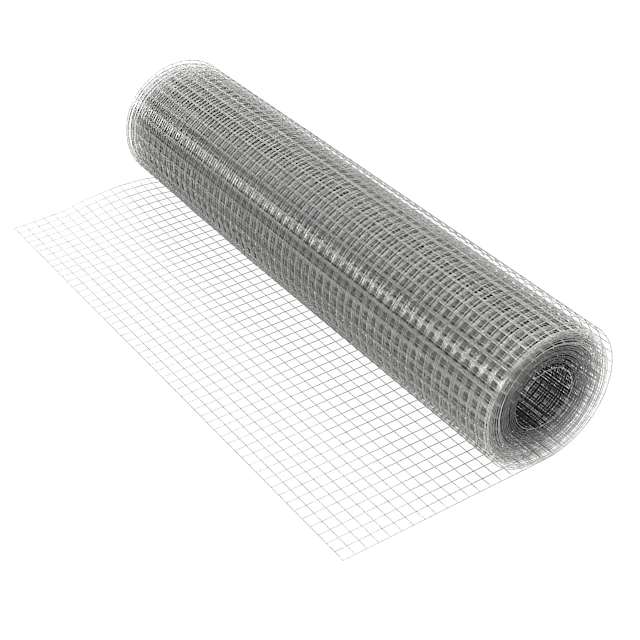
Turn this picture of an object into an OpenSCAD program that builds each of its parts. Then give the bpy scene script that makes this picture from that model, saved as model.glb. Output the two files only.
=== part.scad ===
// Roll of galvanised welded wire mesh with its free end pulled out flat.
// X runs along the roll, the free end lies towards -Y, and Z is up from the floor.
// The origin is on the floor, in the middle of the space that the roll and its free end take up.

/* [Mesh] */
// Spacing of the wires, centre to centre, both ways
mesh_pitch = 19; // [12:0.5:26]
// Number of mesh openings across the width of the web
cells_across = 53; // [20:1:60]
// Thickness of the wire
wire_d = 1; // [0.6:0.1:2]
// Depth that two crossing wires sink into each other at a weld
weld_depth = 0.2; // [0.1:0.05:0.4]

/* [Wound roll] */
// Outer diameter of the wound roll
roll_d = 218; // [180:1:260]
// Diameter of the open middle of the roll
bore_d = 100; // [70:1:130]
// Distance from the edges of the web to each end of the wound roll
end_inset = 3; // [1:0.5:10]
// Spacing of the ring grooves that show the turns on each end
turn_spacing = 3; // [2.5:0.5:6]
// Width of a ring groove
groove_w = 1.2; // [0.8:0.1:2]
// Depth of a ring groove
groove_depth = 2; // [0.5:0.5:4]

/* [Free end] */
// Number of mesh openings that lie flat on the floor
cells_flat = 18; // [8:1:30]
// Length of flat web past the last flat cross wire
flat_tail = 4; // [3:0.5:9]

/* [Loose turn] */
// Radius that the loose outer turn has over the wound roll
loose_extra = 4; // [2:0.5:10]
// Distance behind the roll's axis where the web starts to curl up
curl_start = 5; // [3:0.5:12]
// Clearance where the roll and the web lie on each other
seat_gap = 0.3; // [0.1:0.1:1]

/* [Hidden] */
$fn = 96;
GALVANISED = [0.68, 0.69, 0.7];

// Web: line wires lie outside, and cross wires lie on the side of the roll's axis
web_t = 2 * wire_d - weld_depth;
line_x = [for (i = [0 : cells_across]) (i - cells_across / 2) * mesh_pitch];
web_w = cells_across * mesh_pitch + wire_d;

// Wound roll
roll_r = roll_d / 2;
bore_r = bore_d / 2;
roll_len = web_w - 2 * end_inset;
groove_count = floor((roll_r - bore_r) / turn_spacing) - 1;
groove_step = (roll_r - bore_r) / (groove_count + 1);

// Places: the web leaves the floor at curl_y, and front to back the whole is centred on Y = 0
flat_len = wire_d / 2 + cells_flat * mesh_pitch + flat_tail;
loose_in_r = roll_r + loose_extra;
loose_line_r = loose_in_r + wire_d - weld_depth;
loose_out_r = loose_in_r + web_t;
curl_y = (flat_len - loose_out_r) / 2;
front_y = curl_y - flat_tail - cells_flat * mesh_pitch;
axis_y = curl_y - curl_start;
axis_z = web_t + seat_gap + roll_r;

// Free end: cross wires counted from the front edge, in strips along the web
flat_strips = 3;
flat_per_strip = ceil((cells_flat + 1) / flat_strips);

// Loose turn: one arc about a centre behind and above the roll's axis
loose_rise = loose_out_r - axis_z;
loose_off = norm([curl_start, loose_rise]);
land_r = roll_r + seat_gap;

// Angle where a wire that follows the arc at radius r lands on the roll
function land_a(r) =
    atan2(loose_rise, curl_start) + acos((land_r^2 - loose_off^2 - r^2) / (2 * r * loose_off));

loose_start_a = -90;
loose_end_a = land_a(loose_line_r);
cell_a = mesh_pitch / (loose_out_r - wire_d / 2) * 180 / PI;
first_cross_a = loose_start_a + cell_a * (1 - flat_tail / mesh_pitch);
loose_cross = floor((land_a(loose_in_r) - first_cross_a) / cell_a) + 1;
loose_strips = 4;
loose_per_strip = ceil(loose_cross / loose_strips);

// Stands a drawing made in the YZ plane along X
module along_x() {
    rotate([90, 0, 90]) children();
}

// Wound turns as one turned solid with its bore, ring grooves on both ends
module mesh_roll() {
    color(GALVANISED)
    translate([0, axis_y, axis_z]) along_x()
    rotate_extrude()
    difference() {
        translate([bore_r, -roll_len / 2]) square([roll_r - bore_r, roll_len]);
        for (k = [1 : groove_count], side = [-1, 1])
            translate([bore_r + k * groove_step, side * roll_len / 2])
            square([groove_w, 2 * groove_depth], center = true);
    }
}

// Strip of flat web: cross wires number first to last, line wires from y0 to y1
module flat_strip(first, last, y0, y1) {
    color(GALVANISED) {
        translate([0, y1, 0]) rotate([90, 0, 0])
        linear_extrude(y1 - y0)
        for (x = line_x)
            translate([x - wire_d / 2, 0]) square(wire_d);
        along_x() linear_extrude(web_w, center = true)
        for (j = [first : last])
            translate([front_y + j * mesh_pitch - wire_d / 2, wire_d - weld_depth]) square(wire_d);
    }
}

// Flat strip number k of the free end, cut midway between two cross wires
module free_end(k) {
    first = k * flat_per_strip;
    last = min(first + flat_per_strip - 1, cells_flat);
    y0 = k == 0 ? front_y - wire_d / 2 : front_y + (first - 1 / 2) * mesh_pitch;
    y1 = last == cells_flat ? curl_y : front_y + (last + 1 / 2) * mesh_pitch;
    flat_strip(first, last, y0, y1);
}

// Strip of curled web: cross wires number first to last, line wires from angle a0 to a1
module curled_strip(first, last, a0, a1) {
    color(GALVANISED)
    translate([0, curl_y, loose_out_r]) along_x() {
        rotate(a0) rotate_extrude(angle = a1 - a0)
        for (x = line_x)
            translate([loose_line_r, x - wire_d / 2]) square(wire_d);
        linear_extrude(web_w, center = true)
        for (m = [first : last])
            rotate(first_cross_a + m * cell_a)
            translate([loose_in_r, -wire_d / 2]) square(wire_d);
    }
}

// Curled strip number k of the loose turn, cut midway between two cross wires
module loose_turn(k) {
    first = k * loose_per_strip;
    last = min(first + loose_per_strip, loose_cross) - 1;
    a0 = k == 0 ? loose_start_a : first_cross_a + (first - 1 / 2) * cell_a;
    a1 = last == loose_cross - 1 ? loose_end_a : first_cross_a + (last + 1 / 2) * cell_a;
    curled_strip(first, last, a0, a1);
}

module free_end_front() { free_end(0); }
module free_end_middle() { free_end(1); }
module free_end_back() { free_end(2); }
module loose_turn_low() { loose_turn(0); }
module loose_turn_back() { loose_turn(1); }
module loose_turn_top() { loose_turn(2); }
module loose_turn_front() { loose_turn(3); }

mesh_roll();
free_end_front();
free_end_middle();
free_end_back();
loose_turn_low();
loose_turn_back();
loose_turn_top();
loose_turn_front();
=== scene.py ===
"""Roll of galvanised welded wire mesh: every wire of the web, from the free end to the innermost turn.

The web is one strip of mesh. Its line wires follow a path in the YZ plane, first flat on the floor,
then round the loose turn, then inwards through the wound turns. Its cross wires lie along X, on the
side of the line wires that faces the roll's axis. All lengths are in metres.
"""
import math

import bpy
import numpy as np
from mathutils import Matrix, Vector


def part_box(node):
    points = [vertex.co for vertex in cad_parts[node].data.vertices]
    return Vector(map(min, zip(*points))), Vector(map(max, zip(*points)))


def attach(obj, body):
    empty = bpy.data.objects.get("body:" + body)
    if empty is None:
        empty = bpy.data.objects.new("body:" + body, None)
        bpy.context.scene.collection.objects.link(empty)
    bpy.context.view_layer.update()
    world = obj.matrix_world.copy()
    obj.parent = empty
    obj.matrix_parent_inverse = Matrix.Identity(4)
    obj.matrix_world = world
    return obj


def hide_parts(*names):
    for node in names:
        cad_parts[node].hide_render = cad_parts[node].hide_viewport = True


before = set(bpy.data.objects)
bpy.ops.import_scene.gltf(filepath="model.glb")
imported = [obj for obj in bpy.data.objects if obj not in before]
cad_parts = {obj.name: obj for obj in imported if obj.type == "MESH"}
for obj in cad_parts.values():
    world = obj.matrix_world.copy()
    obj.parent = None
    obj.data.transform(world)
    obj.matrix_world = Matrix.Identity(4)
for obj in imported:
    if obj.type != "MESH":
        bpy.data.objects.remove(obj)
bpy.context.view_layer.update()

# Mesh, as in the CAD model
PITCH = 0.019
CELLS_ACROSS = 53
WIRE_R = 0.0005
WELD_DEPTH = 0.0002
SEAT_GAP = 0.0003

# Winding: the outermost turns lie a little closer together than the rest
TURNS = 20
TURN_PITCH = 0.003
OUTER_EASE = 0.0016

# Spacing of the cross wires on the loose turn, and on the wound turns by the turn from which it holds
LOOSE_PITCH = 0.01888
WOUND_PITCH = {0: 0.01916, 1: 0.019075, 6: 0.01933}

# The innermost turn has sprung loose into the open middle
SPRUNG_TURNS = 1.1
SPRUNG_IN = 0.007

# Skew of the cross wires, by length from the free end, and the share of it that the deep turns keep
SKEW_AT = (0.0, 0.2, 0.35, 0.6)
SKEW = (0.004, 0.003, 0.003, 0.006)
SKEW_KEPT = 0.5
SKEW_TURNS = 4

# Low waves of the free end: rate across the web, rate along it, and phase
SHEET_LIFT = 0.0007
SHEET_WAVE = (8.3, 5.0, 0.6)
SHEET_RIPPLE = (21.0, -13.0, 2.0)
WAVE_SHARE = 0.75
WAVES_END = 0.31
WAVES_FADE = 0.12

# Hump along the far edge of the free end, by length from its front
HUMP_AT = (0.05, 0.095, 0.133, 0.171, 0.21, 0.247, 0.27, 0.29, 0.31, 0.325)
HUMP = (0.0, 0.0027, 0.009, 0.0136, 0.016, 0.0148, 0.0125, 0.0085, 0.003, 0.0)
HUMP_WIDTH = 0.165

# Ends of the roll: the turns don't lie edge to edge, and the inner ones stand back behind a step
TELESCOPED = -0.0002
EDGE_WANDER = 0.0006
EDGE_PERIOD = 0.6
EDGE_TURNS = 0.5
STEP_R = 0.085
STEP_IN = -0.0016
STEP_WIDTH = 0.002
STEP_PROUD = 0.0022
PROUD_OUT = 0.003
PROUD_WIDTH = 0.0025

# Waves of the wound turns: one that all turns share, and one of each turn's own
OUT_OF_ROUND = 0.0005
LOBES = (2, 3, 5)
LOBE_TWIST = 2.5
TURN_WANDER = 0.0007
WANDER_PERIOD = 0.31
WANDER_COLUMNS = 4
WANDER_TURNS = 0.3
WIRE_WANDER = 0.00012
SEED = 7

# Settling: how far the turns stand out from their circles, by angle in degrees and by place along X
SETTLED_X = (-0.48, -0.125, 0.125, 0.375)
SETTLED_WOUND = {
    -70: (0.0, 0.0, 0.0, 0.0),
    47: (0.003, 0.001, -0.001, -0.0015),
    118: (-0.003, -0.0028, -0.0008, 0.0004),
    227: (0.0, 0.0055, 0.0055, 0.0055),
    266: (-0.0005, -0.0005, -0.0005, -0.0005),
    280: (-0.0005, -0.0005, -0.0005, -0.0005),
}
SETTLED_LOOSE = {
    -70: (0.0, 0.0, 0.0, 0.0),
    47: (-0.0045, -0.0041, -0.0041, -0.0041),
    118: (-0.005, -0.0034, -0.0017, -0.0008),
    160: (-0.002, -0.001, 0.0012, 0.0022),
}
SETTLED_TURNS = 7.0
LANDING_TURNS = 0.12
CURL_NODES = 3

# Nesting: how far single turns stand out from their spiral, by number of the turn and by place along X
NESTED = {
    1: (0.0, 0.0, 0.0, 0.0),
    2: (0.0007, 0.0007, 0.0007, 0.0),
    3: (-0.0014, -0.0014, 0.0, 0.0),
    5: (0.0, 0.0, 0.0, 0.0),
}

# Pressing: the roll's weight brings its turns closer together low at the front
PRESSED_TURN = 0.0007
PRESSED_FROM = 0.5
PRESSED_TURNS = 4.5
PRESSED_FADE = 5
PRESSED_AT = 245
PRESSED_SPREAD = 85

# Sides of a wire's section, points along a cross wire, length of its bare ends, pieces of wound turns
SHOWN_SIDES = 8
WOUND_SIDES = 6
STATIONS = 11
BARE_END = 0.012
WOUND_PIECES = 4

# Painted shade among the wound turns, where the outer turns shade the inner ones: first turn, turns over
# which a layer comes in, and its share
PAINTED_SHADE_LAYERS = ((2.8, 1.4, 0.4), (5.5, 7.0, 0.4), (13.0, 4.0, 0.2))

# Darkening of the free end and of the loose turn, and where the one goes over into the other; the free
# end's line wires are darkened less than its cross wires, a painted stand-in for side light on the line
# wires
FREE_LINE_DARKENING = 0.12
FREE_CROSS_DARKENING = 0.24
LOOSE_DARKENING = 0.16
LOOSE_DARKENING_NODES = (-2, 5)
LOOSE_DARKENING_TURNS = 0.5

# Painted shade is lifted off the edges of the web, which face the open ends of the roll, most of all on the
# innermost turn and at the step
EDGE_LIT = 0.2
EXTRA_EDGE_LIT = 0.6
LIT_INNER_TURNS = 1.2
LIT_INNER_FADE = 0.8

# Zinc: patches and grain of the coat, with the painted shade that darkens its colour and the roughness that
# it adds
PATCH_SCALE = 70.0
PATCH_DETAIL = 5.0
PATCH_RANGE = (0.3, 0.7)
PATCH_COLOURS = ((0.394, 0.395, 0.383, 1), (0.553, 0.555, 0.538, 1))
PATCH_ROUGHNESS = (0.30, 0.15)
GRAIN_SCALE = 1800.0
GRAIN_DETAIL = 2.0
GRAIN_STRENGTH = 0.25
GRAIN_HEIGHT = 0.00005
# Tone of the wire under full painted shade, and roughness added where the painted shade lies
PAINTED_SHADE_TONE = 0.1
SHADE_ROUGHNESS = 0.2

# Floor and room: what the camera sees of them, and the light that they give to the wire
FLOOR_HALF = 20.0
FLOOR_ALBEDO = 0.7
FLOOR_SEEN = 0.95
FLOOR_GLOW = 0.45
FLOOR_BOUNCE = 1.8
ROOM_GLOW = 0.02
WHITE = 1.0
SHARPENING = 0.06

# Camera, from the photograph
CAMERA_AT = Vector((1.5915, -0.9795, 1.3099))
CAMERA_TARGET = Vector((0.0411, 0.0505, 0.0))
CAMERA_ROLL = math.radians(-1.05)
CAMERA_LENS = 80.2
SENSOR_WIDTH = 36.0

rng = np.random.RandomState(SEED)


def smooth_noise(where, period):
    """Smooth random values between -1 and 1 for positions on a line, with a knot every period."""
    place = (where - np.min(where)) / period
    knots = rng.uniform(-1, 1, int(np.max(place)) + 3)
    base = np.floor(place).astype(int)
    share = ease(place - base)
    return knots[base] * (1 - share) + knots[base + 1] * share


def ease(value):
    """Smooth step from 0 to 1."""
    held = np.clip(value, 0, 1)
    return held * held * (3 - 2 * held)


class Web:
    """The web's path. Nodes 0, 1, 2 and so on are its cross wires, counted from the free end."""

    def __init__(self):
        front_lo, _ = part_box("free_end_front")
        _, flat_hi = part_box("free_end_back")
        _, top_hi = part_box("loose_turn_top")
        roll_lo, roll_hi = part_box("mesh_roll")
        self.front_y = front_lo.y + WIRE_R
        self.curl_y = flat_hi.y
        self.loose_r = top_hi.z / 2 - WIRE_R
        self.loose_z = top_hi.z / 2
        self.axis_y = (roll_lo.y + roll_hi.y) / 2
        self.axis_z = (roll_lo.z + roll_hi.z) / 2
        self.roll_r = (roll_hi.z - roll_lo.z) / 2
        self.line_x = (np.arange(CELLS_ACROSS + 1) - CELLS_ACROSS / 2) * PITCH
        self.walk()
        self.set_directions()

    def landing(self):
        """Angle about the loose turn's centre where its line wires come down on the roll."""
        off_y = self.curl_y - self.axis_y
        off_z = self.loose_z - self.axis_z
        off = math.hypot(off_y, off_z)
        inner = self.loose_r - WIRE_R
        land = self.roll_r + SEAT_GAP
        share = (land**2 - off**2 - inner**2) / (2 * inner * off)
        return math.atan2(off_z, off_y) + math.acos(share)

    def wound_radius(self, turn):
        """Radius of the line wires after a number of turns from the landing."""
        landed = self.roll_r + SEAT_GAP + WIRE_R
        return landed - TURN_PITCH * turn + OUTER_EASE * (1 - math.exp(-turn))

    @staticmethod
    def wound_pitch(turn):
        """Spacing of the cross wires on the circles that stand for the turns."""
        return WOUND_PITCH[max(first for first in WOUND_PITCH if first <= turn)]

    def walk(self):
        """Places of the line wires at each node, with the length and the turns walked to there."""
        flat_len = self.curl_y - self.front_y
        land_angle = self.landing()
        loose_len = self.loose_r * (land_angle + math.pi / 2)
        places, turns = [], []
        walked = 0.0
        while walked < flat_len:
            places.append((self.front_y + walked, WIRE_R))
            walked += PITCH
        self.first_loose = len(places)
        while walked < flat_len + loose_len:
            angle = (walked - flat_len) / self.loose_r - math.pi / 2
            places.append(self.on_circle(self.curl_y, self.loose_z, self.loose_r, angle))
            walked += LOOSE_PITCH
        self.first_wound = len(places)
        land_y, land_z = self.on_circle(self.curl_y, self.loose_z, self.loose_r, land_angle)
        start = math.atan2(land_z - self.axis_z, land_y - self.axis_y)
        angle = (walked - flat_len - loose_len) / self.roll_r
        while angle < 2 * math.pi * TURNS:
            radius = self.wound_radius(angle / (2 * math.pi))
            places.append(self.on_circle(self.axis_y, self.axis_z, radius, start + angle))
            turns.append(angle / (2 * math.pi))
            angle += self.wound_pitch(turns[-1]) / radius
        self.yz = np.array(places)
        self.count = len(places)
        self.walked = PITCH * np.arange(self.count)
        self.turn = np.concatenate([np.zeros(self.first_wound), turns])

    @staticmethod
    def on_circle(centre_y, centre_z, radius, angle):
        """Point on a circle in the YZ plane."""
        return centre_y + radius * math.cos(angle), centre_z + radius * math.sin(angle)

    def set_directions(self):
        """Directions along the path and from it towards the axis, and places about the axis."""
        along = np.gradient(self.yz, axis=0)
        along /= np.linalg.norm(along, axis=1)[:, None]
        self.along = np.c_[np.zeros(self.count), along]
        self.inward = np.c_[np.zeros(self.count), -along[:, 1], along[:, 0]]
        out = self.yz - (self.axis_y, self.axis_z)
        self.radius = np.hypot(out[:, 0], out[:, 1])
        self.angle = np.arctan2(out[:, 1], out[:, 0])
        self.past_flat = np.arange(self.count) - self.first_loose


class Unevenness:
    """How far each node stands off the even web, along X, along the path and towards the axis."""

    def __init__(self, web):
        self.web = web
        inner = np.linspace(web.line_x[0] + BARE_END, web.line_x[-1] - BARE_END, STATIONS - 2)
        self.station_x = np.concatenate([web.line_x[:1], inner, web.line_x[-1:]])
        self.drift = self.edge_drift()
        self.tilt = self.skewed()
        waves = self.turn_waves() + self.sprung_turn()[:, None] + self.sheet_waves()
        self.depth = waves - self.settled()
        # Painted light on the free end: its line wires are darkened less than its cross wires, which stands
        # in for side light on the line wires
        self.line_darkening = self.darkened(FREE_LINE_DARKENING)
        self.cross_darkening = self.darkened(FREE_CROSS_DARKENING)

    def edge_drift(self):
        """Shift along X: the wound turns don't lie quite edge to edge."""
        web = self.web
        wander = EDGE_WANDER * smooth_noise(web.turn, EDGE_PERIOD)
        inner = STEP_IN * ease((STEP_R - web.radius) / STEP_WIDTH)
        proud = STEP_PROUD * np.exp(-((web.radius - STEP_R - PROUD_OUT) / PROUD_WIDTH) ** 2)
        return TELESCOPED * web.turn + (wander + inner + proud) * ease(web.turn / EDGE_TURNS)

    def skewed(self):
        """Slope of the cross wires along the path: the web isn't quite square."""
        kept = SKEW_KEPT + (1 - SKEW_KEPT) * np.exp(-self.web.turn / SKEW_TURNS)
        return np.interp(self.web.walked, SKEW_AT, SKEW) * kept

    def turn_waves(self):
        """Waves of the wound turns: one that all turns share, and one of each turn's own."""
        web = self.web
        shared = np.zeros((web.count, STATIONS))
        for lobes in LOBES:
            phase = rng.uniform(0, 2 * math.pi)
            twist = rng.uniform(-LOBE_TWIST, LOBE_TWIST)
            shared += np.cos(lobes * web.angle[:, None] + phase + twist * self.station_x) / lobes
        own = np.array([smooth_noise(web.turn, WANDER_PERIOD) for _ in range(WANDER_COLUMNS)])
        columns = np.interp(self.station_x, web.line_x[[0, -1]], (0, WANDER_COLUMNS - 1))
        low = np.minimum(columns.astype(int), WANDER_COLUMNS - 2)
        share = ease(columns - low)
        own = own[low].T * (1 - share) + own[low + 1].T * share
        wound = ease(web.turn / WANDER_TURNS)[:, None]
        return wound * (OUT_OF_ROUND * (1 + shared) + TURN_WANDER * own)

    def sprung_turn(self):
        """The innermost turn has sprung loose into the open middle."""
        return SPRUNG_IN * ease((self.web.turn - TURNS + SPRUNG_TURNS) / SPRUNG_TURNS)

    def swell(self, rate_across, rate_back, phase):
        """Even waves between 0 and 1 over the web."""
        across_part = rate_across * self.station_x[None, :]
        return 0.5 + 0.5 * np.sin(across_part + rate_back * self.web.walked[:, None] + phase)

    def sheet_waves(self):
        """Low waves of the free end, which rests on the floor between them, and its far edge's hump."""
        back = self.web.walked[:, None]
        held = ease((WAVES_END - back) / WAVES_FADE)
        waves = WAVE_SHARE * self.swell(*SHEET_WAVE) + (1 - WAVE_SHARE) * self.swell(*SHEET_RIPPLE)
        far_edge = ease(1 - (self.station_x[None, :] - self.web.line_x[0]) / HUMP_WIDTH)
        return SHEET_LIFT * held * waves + np.interp(back, HUMP_AT, HUMP) * far_edge

    def from_table(self, table, where):
        """Values of a table at every node and station, eased from one of its keys to the next."""
        keys = sorted(table)
        rows = np.array([np.interp(self.station_x, SETTLED_X, table[key]) for key in keys])
        place = np.interp(where, keys, np.arange(len(keys)))
        low = np.minimum(place.astype(int), len(keys) - 2)
        share = ease(place - low)[:, None]
        return rows[low] * (1 - share) + rows[low + 1] * share

    def by_angle(self, table):
        """Values of a table whose keys are angles in degrees, all the way round."""
        first = min(table)
        angle = (np.degrees(self.web.angle) - first) % 360 + first
        return self.from_table({**table, first + 360: table[first]}, angle)

    def settled(self):
        """The roll sags forward over its free end, and its loose turn lies closer at the far end."""
        web = self.web
        wound = self.by_angle(SETTLED_WOUND) * np.exp(-web.turn / SETTLED_TURNS)[:, None]
        wound += self.from_table(NESTED, web.turn) + self.pressed()[:, None]
        loose = self.by_angle(SETTLED_LOOSE)
        landed = ease(web.turn / LANDING_TURNS)[:, None]
        rolled = ease(web.past_flat / CURL_NODES)[:, None]
        return rolled * (landed * wound + (1 - landed) * loose)

    def pressed(self):
        """Outward shift of the turns that the roll's weight presses together."""
        turn = self.web.turn
        angle = np.degrees(self.web.angle) % 360
        low = ease(1 - np.abs(angle - PRESSED_AT) / PRESSED_SPREAD)
        fading = np.exp(-np.maximum(turn - PRESSED_TURNS, 0) / PRESSED_FADE)
        return PRESSED_TURN * low * np.clip(turn - PRESSED_FROM, 0, PRESSED_TURNS) * fading

    def lit_edges(self):
        """Share of the painted shade that is lifted at each node and station, on edges that face the open
        ends of the roll.
        """
        # Edges of the innermost turns and at the step face the open bore and end, so the painted shade is
        # lifted there most
        innermost_lit = ease((self.web.turn - TURNS + LIT_INNER_TURNS) / LIT_INNER_FADE)
        step = np.exp(-(((self.web.radius - STEP_R) / STEP_WIDTH) ** 2))
        edge = np.zeros(STATIONS)
        edge[[0, -1]] = 1
        return edge * (EDGE_LIT + EXTRA_EDGE_LIT * np.maximum(innermost_lit, step))[:, None]

    def darkened(self, free_darkening):
        """Painted shade on the wire, from 0 in the open to 1 among the deep turns, which shade one another,
        with the darkening of the free end and of the loose turn.
        """
        turn = self.web.turn
        # Painted shade among the wound turns, where the outer turns shade the inner ones
        layers = sum(share * ease((turn - first) / over) for first, over, share in PAINTED_SHADE_LAYERS)
        wound = layers[:, None] * (1 - self.lit_edges())
        # Darkening of the free end and of the loose turn, easing from the one to the other
        first_node, nodes = LOOSE_DARKENING_NODES
        curled = ease((self.web.past_flat - first_node) / nodes)
        shown = free_darkening * (1 - curled) + LOOSE_DARKENING * curled
        shown = shown * (1 - ease(turn / LOOSE_DARKENING_TURNS))
        return np.maximum(wound, shown[:, None])


def tube_group(centres, side_a, side_b, darkening, sides):
    """Corners, walls and caps of round tubes along centres[wire, point], with the darkening at each corner,
    mostly painted shade.
    """
    wires, points = centres.shape[:2]
    corner = (np.arange(sides) + 0.5) * 2 * math.pi / sides
    radius = WIRE_R * math.pi / (sides * math.sin(math.pi / sides))
    ring_a = np.cos(corner)[:, None] * side_a[:, :, None, :]
    ring_b = np.sin(corner)[:, None] * side_b[:, :, None, :]
    coords = centres[:, :, None, :] + radius * (ring_a + ring_b)
    index = np.arange(wires * points * sides).reshape(wires, points, sides)
    here, after = index[:, :-1], index[:, 1:]
    walls = np.stack([here, np.roll(here, -1, 2), np.roll(after, -1, 2), after], axis=-1)
    caps = np.concatenate([index[:, 0, ::-1], index[:, -1]])
    return coords.reshape(-1, 3), walls.reshape(-1, 4), caps, np.repeat(darkening.ravel(), sides)


def tubes_mesh(name, groups):
    """One mesh from groups of tubes, smooth along each wire and flat on its cut ends."""
    coords, loops, starts, flat, painted_shade = [], [], [], [], []
    corners = loop_count = 0
    for points, walls, caps, darkening in groups:
        coords.append(points)
        painted_shade.append(darkening)
        for faces in (walls, caps):
            loops.append((faces + corners).ravel())
            starts.append(loop_count + faces.shape[1] * np.arange(len(faces)))
            flat.append(np.full(len(faces), faces is caps))
            loop_count += faces.size
        corners += len(points)
    mesh = bpy.data.meshes.new(name)
    mesh.vertices.add(corners)
    mesh.vertices.foreach_set("co", np.concatenate(coords).astype(np.float32).ravel())
    mesh.loops.add(loop_count)
    mesh.loops.foreach_set("vertex_index", np.concatenate(loops).astype(np.int32))
    starts = np.concatenate(starts)
    mesh.polygons.add(len(starts))
    mesh.polygons.foreach_set("loop_start", starts.astype(np.int32))
    mesh.update(calc_edges=True)
    sharp = mesh.attributes.new("sharp_face", "BOOLEAN", "FACE")
    sharp.data.foreach_set("value", np.concatenate(flat))
    # Painted shade for each corner, which the material reads to darken the wire
    shade_layer = mesh.attributes.new("painted_shade", "FLOAT", "POINT")
    shade_layer.data.foreach_set("value", np.concatenate(painted_shade))
    return mesh


def at_line_wires(web, uneven, values):
    """Values[node, station] read at the line wires, as [wire, node]."""
    return np.array([np.interp(web.line_x, uneven.station_x, row) for row in values]).T


def line_wires(web, uneven, first, last, sides):
    """All line wires from node first to node last."""
    nodes = slice(first, last + 1)
    inward, along = web.inward[nodes], web.along[nodes]
    depth = at_line_wires(web, uneven, uneven.depth[nodes])
    centres = np.zeros((len(web.line_x), last + 1 - first, 3))
    centres[:, :, 0] = web.line_x[:, None] + uneven.drift[nodes]
    centres[:, :, 0] += rng.uniform(-WIRE_WANDER, WIRE_WANDER, centres.shape[:2])
    centres[:, :, 1:] = web.yz[nodes]
    centres += depth[:, :, None] * inward
    centres += (web.line_x[:, None] * uneven.tilt[nodes])[:, :, None] * along
    side_a = np.broadcast_to(inward, centres.shape)
    side_b = np.broadcast_to((1.0, 0.0, 0.0), centres.shape)
    darkening = at_line_wires(web, uneven, uneven.line_darkening[nodes])
    return tube_group(centres, side_a, side_b, darkening, sides)


def cross_wires(web, uneven, first, last, sides):
    """The cross wires at nodes first to last."""
    nodes = slice(first, last + 1)
    inward, along = web.inward[nodes][:, None, :], web.along[nodes][:, None, :]
    reach = uneven.station_x.copy()
    reach[0] -= WIRE_R
    reach[-1] += WIRE_R
    depth = 2 * WIRE_R - WELD_DEPTH + uneven.depth[nodes]
    centres = np.zeros((last + 1 - first, STATIONS, 3))
    centres[:, :, 0] = reach + uneven.drift[nodes][:, None]
    centres[:, :, 1:] = web.yz[nodes][:, None, :]
    centres += depth[:, :, None] * inward
    centres += (reach * uneven.tilt[nodes][:, None])[:, :, None] * along
    side_a = np.broadcast_to(along, centres.shape)
    side_b = np.broadcast_to(inward, centres.shape)
    return tube_group(centres, side_a, side_b, uneven.cross_darkening[nodes], sides)


def add_noise(tree, place, scale, detail):
    """Noise over an object's own coordinates."""
    noise = tree.nodes.new("ShaderNodeTexNoise")
    noise.inputs["Scale"].default_value = scale
    noise.inputs["Detail"].default_value = detail
    tree.links.new(place.outputs["Object"], noise.inputs["Vector"])
    return noise.outputs["Fac"]


def add_range(tree, value, low, high):
    """A value between 0 and 1, brought between low and high."""
    brought = tree.nodes.new("ShaderNodeMapRange")
    brought.inputs["To Min"].default_value = low
    brought.inputs["To Max"].default_value = high
    tree.links.new(value, brought.inputs["Value"])
    return brought.outputs["Result"]


def zinc_colour(tree, patches, darkening):
    """Grey that is brighter by patches, and darker where the painted shade lies."""
    tint = tree.nodes.new("ShaderNodeValToRGB")
    for stop, position, colour in zip(tint.color_ramp.elements, PATCH_RANGE, PATCH_COLOURS):
        stop.position = position
        stop.color = colour
    tree.links.new(patches, tint.inputs["Fac"])
    dimmed = tree.nodes.new("ShaderNodeVectorMath")
    dimmed.operation = "SCALE"
    tree.links.new(tint.outputs["Color"], dimmed.inputs["Vector"])
    # Painted shade: the grey is scaled down towards the shaded tone
    tree.links.new(add_range(tree, darkening, 1.0, PAINTED_SHADE_TONE), dimmed.inputs["Scale"])
    return dimmed.outputs["Vector"]


def zinc_roughness(tree, patches, darkening):
    """Roughness that is lower on bright patches, and higher where the painted shade lies."""
    dull = tree.nodes.new("ShaderNodeMath")
    dull.operation = "MULTIPLY_ADD"
    dull.inputs[1].default_value = SHADE_ROUGHNESS
    tree.links.new(darkening, dull.inputs[0])
    tree.links.new(add_range(tree, patches, *PATCH_ROUGHNESS), dull.inputs[2])
    return dull.outputs["Value"]


def zinc_grain(tree, place):
    """Fine grain of the coat, as a bumped normal."""
    bump = tree.nodes.new("ShaderNodeBump")
    bump.inputs["Strength"].default_value = GRAIN_STRENGTH
    bump.inputs["Distance"].default_value = GRAIN_HEIGHT
    tree.links.new(add_noise(tree, place, GRAIN_SCALE, GRAIN_DETAIL), bump.inputs["Height"])
    return bump.outputs["Normal"]


def galvanised():
    """Zinc on drawn wire: grey metal, brighter by patches, with a fine grain, darker by painted shade on
    the deep turns.
    """
    made = bpy.data.materials.new("galvanised_wire")
    made.use_nodes = True
    tree = made.node_tree
    shader = tree.nodes["Principled BSDF"]
    shader.inputs["Metallic"].default_value = 1.0
    place = tree.nodes.new("ShaderNodeTexCoord")
    patches = add_noise(tree, place, PATCH_SCALE, PATCH_DETAIL)
    # Painted shade, read from the mesh's attribute
    painted_shade = tree.nodes.new("ShaderNodeAttribute")
    painted_shade.attribute_name = "painted_shade"
    darkening = painted_shade.outputs["Fac"]
    tree.links.new(zinc_colour(tree, patches, darkening), shader.inputs["Base Color"])
    tree.links.new(zinc_roughness(tree, patches, darkening), shader.inputs["Roughness"])
    tree.links.new(zinc_grain(tree, place), shader.inputs["Normal"])
    return made


def add_stretch(web, uneven, wire, name, first, last, sides, replaced):
    """The web from node first to node last, as one piece that stands for CAD nodes."""
    lines = line_wires(web, uneven, first, last, sides)
    mesh = tubes_mesh(name, [lines, cross_wires(web, uneven, first, last - 1, sides)])
    mesh.materials.append(wire)
    piece = bpy.data.objects.new(name, mesh)
    bpy.context.scene.collection.objects.link(piece)
    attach(piece, "root")
    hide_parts(*replaced)


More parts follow.
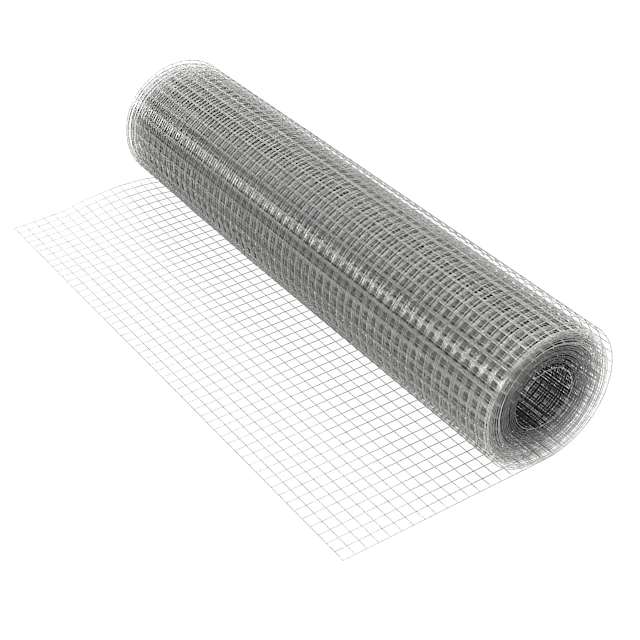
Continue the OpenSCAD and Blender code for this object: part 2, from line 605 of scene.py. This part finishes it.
def add_web():
    """The whole web: free end, loose turn and the stretches of wound turns."""
    web = Web()
    uneven = Unevenness(web)
    wire = galvanised()
    free_end = ["free_end_front", "free_end_middle", "free_end_back"]
    loose_turn = ["loose_turn_low", "loose_turn_back", "loose_turn_top", "loose_turn_front"]
    curl, landing = web.first_loose, web.first_wound
    add_stretch(web, uneven, wire, "web_free_end", 0, curl, SHOWN_SIDES, free_end)
    add_stretch(web, uneven, wire, "web_loose_turn", curl, landing, SHOWN_SIDES, loose_turn)
    marks = np.linspace(landing, web.count - 1, WOUND_PIECES + 1).astype(int)
    for number in range(WOUND_PIECES):
        first, last = marks[number], marks[number + 1]
        name = f"web_wound_turns_{number + 1}"
        add_stretch(web, uneven, wire, name, first, last, WOUND_SIDES, ["mesh_roll"])
    return web


def floor_material():
    """White that gives off light of its own, with more of it for the wire than the camera sees."""
    made = bpy.data.materials.new("floor")
    made.use_nodes = True
    tree = made.node_tree
    shader = tree.nodes["Principled BSDF"]
    shader.inputs["Base Color"].default_value = (FLOOR_ALBEDO, FLOOR_ALBEDO, FLOOR_ALBEDO, 1)
    shader.inputs["Roughness"].default_value = 1.0
    shader.inputs["Specular IOR Level"].default_value = 0.0
    seen = tree.nodes.new("ShaderNodeLightPath").outputs["Is Camera Ray"]
    bright = tree.nodes.new("ShaderNodeEmission")
    tree.links.new(add_range(tree, seen, FLOOR_BOUNCE, WHITE), bright.inputs["Strength"])
    mix = tree.nodes.new("ShaderNodeMixShader")
    tree.links.new(add_range(tree, seen, FLOOR_GLOW, FLOOR_SEEN), mix.inputs["Fac"])
    tree.links.new(shader.outputs["BSDF"], mix.inputs[1])
    tree.links.new(bright.outputs["Emission"], mix.inputs[2])
    tree.links.new(mix.outputs["Shader"], tree.nodes["Material Output"].inputs["Surface"])
    return made


def add_floor():
    """Plain white floor, on which only a faint shadow shows."""
    half = FLOOR_HALF
    corners = [(-half, -half, 0), (half, -half, 0), (half, half, 0), (-half, half, 0)]
    mesh = bpy.data.meshes.new("floor")
    mesh.from_pydata(corners, [], [(0, 1, 2, 3)])
    floor = bpy.data.objects.new("floor", mesh)
    bpy.context.scene.collection.objects.link(floor)
    mesh.materials.append(floor_material())


def add_soft_box(name, at, target, width, height, power):
    """Soft box of width by height metres that faces target."""
    light = bpy.data.lights.new(name, "AREA")
    light.shape = "RECTANGLE"
    light.size = width
    light.size_y = height
    light.energy = power
    lamp = bpy.data.objects.new(name, light)
    bpy.context.scene.collection.objects.link(lamp)
    aim = (target - at).to_track_quat("-Z", "Y")
    lamp.matrix_world = Matrix.Translation(at) @ aim.to_matrix().to_4x4()


def add_room():
    """Dim room that looks white to the camera."""
    world = bpy.data.worlds.new("room")
    bpy.context.scene.world = world
    world.use_nodes = True
    nodes, links = world.node_tree.nodes, world.node_tree.links
    room = nodes["Background"]
    seen = nodes.new("ShaderNodeBackground")
    for background, strength in ((room, ROOM_GLOW), (seen, WHITE)):
        background.inputs["Color"].default_value = (1, 1, 1, 1)
        background.inputs["Strength"].default_value = strength
    ray = nodes.new("ShaderNodeLightPath")
    mix = nodes.new("ShaderNodeMixShader")
    links.new(ray.outputs["Is Camera Ray"], mix.inputs["Fac"])
    links.new(room.outputs["Background"], mix.inputs[1])
    links.new(seen.outputs["Background"], mix.inputs[2])
    links.new(mix.outputs["Shader"], nodes["World Output"].inputs["Surface"])
    bpy.context.scene.view_settings.view_transform = "Standard"


def add_lights(web):
    """A long strip and a weak low one in front of the roll, a wide ceiling, and walls behind and beyond."""
    middle = Vector((0, web.axis_y, web.axis_z))
    strip_at, strip_to = middle + Vector((1.0, -2.5, 1.26)), middle + Vector((1.0, 0, 0))
    back_at, back_to = middle + Vector((-1.0, 3.0, 0.9)), middle + Vector((-1.0, 0, 0))
    add_soft_box("front_strip", strip_at, strip_to, 5.2, 0.6, 82)
    add_soft_box("front_low", Vector((0.5, -3.0, 0.5)), Vector((0.5, 0, 0.1)), 7.0, 0.6, 3)
    add_soft_box("ceiling_near", Vector((2.2, 0.86, 2.6)), Vector((2.2, 0.86, 0)), 7.6, 5.6, 310)
    add_soft_box("ceiling_far", Vector((-3.6, 0.86, 2.6)), Vector((-3.6, 0.86, 0)), 4.0, 5.6, 145)
    add_soft_box("back_wall", back_at, back_to, 7.0, 1.8, 66)
    add_soft_box("far_wall", Vector((-4.5, 0, 1.0)), Vector((0, 0, 0.6)), 6.0, 1.8, 140)


def add_camera():
    """Camera at the photograph's place, with its slight roll."""
    data = bpy.data.cameras.new("camera")
    data.sensor_width = SENSOR_WIDTH
    data.lens = CAMERA_LENS
    camera = bpy.data.objects.new("camera", data)
    bpy.context.scene.collection.objects.link(camera)
    aim = (CAMERA_TARGET - CAMERA_AT).to_track_quat("-Z", "Y").to_matrix().to_4x4()
    camera.matrix_world = Matrix.Translation(CAMERA_AT) @ aim @ Matrix.Rotation(CAMERA_ROLL, 4, "Z")
    bpy.context.scene.camera = camera


def add_finish():
    """Light sharpening of the finished picture, as a camera does it."""
    scene = bpy.context.scene
    scene.use_nodes = True
    nodes, links = scene.node_tree.nodes, scene.node_tree.links
    nodes.clear()
    layers = nodes.new("CompositorNodeRLayers")
    sharpen = nodes.new("CompositorNodeFilter")
    sharpen.filter_type = "SHARPEN"
    sharpen.inputs["Fac"].default_value = SHARPENING
    result = nodes.new("CompositorNodeComposite")
    links.new(layers.outputs["Image"], sharpen.inputs["Image"])
    links.new(sharpen.outputs["Image"], result.inputs["Image"])


add_camera()
the_web = add_web()
add_floor()
add_room()
add_lights(the_web)
add_finish()
